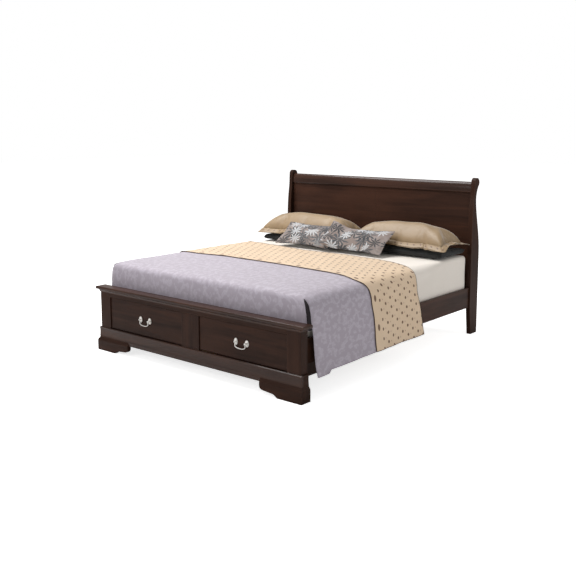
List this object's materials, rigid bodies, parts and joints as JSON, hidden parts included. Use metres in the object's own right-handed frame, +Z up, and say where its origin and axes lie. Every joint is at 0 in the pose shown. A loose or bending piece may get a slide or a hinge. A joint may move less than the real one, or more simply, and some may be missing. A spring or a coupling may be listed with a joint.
{
  "type": "sleigh bed",
  "caption": "Low-foot sleigh bed in dark wood with drawers in its footboard, bail handles and a scroll headboard, dressed with bedding.",
  "frame": {"origin": "on the floor, at the middle of the overall length and width", "axes": "+Z up, +Y from the footboard to the headboard, +X to the right as seen from the foot"},
  "size_m": [2.1146, 2.396, 1.306],
  "materials": {
    "espresso_wood": "dark espresso stain under satin lacquer",
    "inner_wood": "unfinished poplar and plywood",
    "antique_nickel": "antique silver plating, rubbed",
    "zinc_steel": "zinc plated",
    "sheet_cotton": "cream fitted cotton over a padded mattress",
    "coverlet_damask": "lavender grey damask with a soft sheen",
    "runner_satin": "champagne tan satin weave with small embroidered brown dots",
    "black_cotton": "black cotton pillow case",
    "sham_satin": "gold tan satin weave with embroidered dots at the hems",
    "floral_print": "taupe printed cotton with a burst-leaf pattern"
  },
  "bodies": {
    "bed_frame": {"plinth_front": "espresso_wood", "bracket_foot_left": "espresso_wood", "plinth_return_left": "espresso_wood", "bracket_foot_right": "espresso_wood", "plinth_return_right": "espresso_wood", "foot_post_left": "espresso_wood", "foot_post_right": "espresso_wood", "foot_top_rail": "espresso_wood", "foot_centre_stile": "espresso_wood", "foot_back_rail": "espresso_wood", "foot_cap": "espresso_wood", "case_side_left": "inner_wood", "case_side_right": "inner_wood", "case_divider": "inner_wood", "case_bottom": "inner_wood", "case_back": "inner_wood", "drawer_slide_left_inner": "zinc_steel", "drawer_slide_left_outer": "zinc_steel", "drawer_slide_right_inner": "zinc_steel", "drawer_slide_right_outer": "zinc_steel", "head_post_left": "espresso_wood", "head_post_right": "espresso_wood", "head_panel_left": "espresso_wood", "head_panel_right": "espresso_wood", "head_crest_rail": "espresso_wood", "head_lower_rail": "espresso_wood", "head_back_batten": "espresso_wood", "side_rail_left": "espresso_wood", "rail_cleat_left": "inner_wood", "side_rail_right": "espresso_wood", "rail_cleat_right": "inner_wood", "slat_roll": "inner_wood", "centre_beam": "inner_wood", "centre_leg_front": "inner_wood", "centre_leg_rear": "inner_wood", "mattress": "sheet_cotton", "coverlet": "coverlet_damask", "bed_runner": "runner_satin", "black_pillow_left": "black_cotton", "sham_left": "sham_satin", "floral_cushion_left": "floral_print", "black_pillow_right": "black_cotton", "sham_right": "sham_satin", "floral_cushion_right": "floral_print"},
    "left_drawer": {"drawer_front_left": "espresso_wood", "drawer_side_left_inner": "inner_wood", "drawer_side_left_outer": "inner_wood", "drawer_back_left": "inner_wood", "drawer_bottom_left": "inner_wood", "handle_rosette_left_left": "antique_nickel", "handle_rosette_left_right": "antique_nickel"},
    "right_drawer": {"drawer_front_right": "espresso_wood", "drawer_side_right_inner": "inner_wood", "drawer_side_right_outer": "inner_wood", "drawer_back_right": "inner_wood", "drawer_bottom_right": "inner_wood", "handle_rosette_right_left": "antique_nickel", "handle_rosette_right_right": "antique_nickel"},
    "left_bail": {"handle_bail_left": "antique_nickel"},
    "right_bail": {"handle_bail_right": "antique_nickel"}
  },
  "joints": [
    {"name": "left_drawer_slide", "type": "slide", "parent": "bed_frame", "child": "left_drawer", "axis": [0, -1, 0], "range_m": [0, 0.35]},
    {"name": "right_drawer_slide", "type": "slide", "parent": "bed_frame", "child": "right_drawer", "axis": [0, -1, 0], "range_m": [0, 0.35]},
    {"name": "left_bail_swing", "type": "hinge", "parent": "left_drawer", "child": "left_bail", "pos_m": [-0.4865, -1.1833, 0.306], "axis": [-1, 0, 0], "range_deg": [0, 85]},
    {"name": "right_bail_swing", "type": "hinge", "parent": "right_drawer", "child": "right_bail", "pos_m": [0.4865, -1.1833, 0.306], "axis": [-1, 0, 0], "range_deg": [0, 85]}
  ]
}
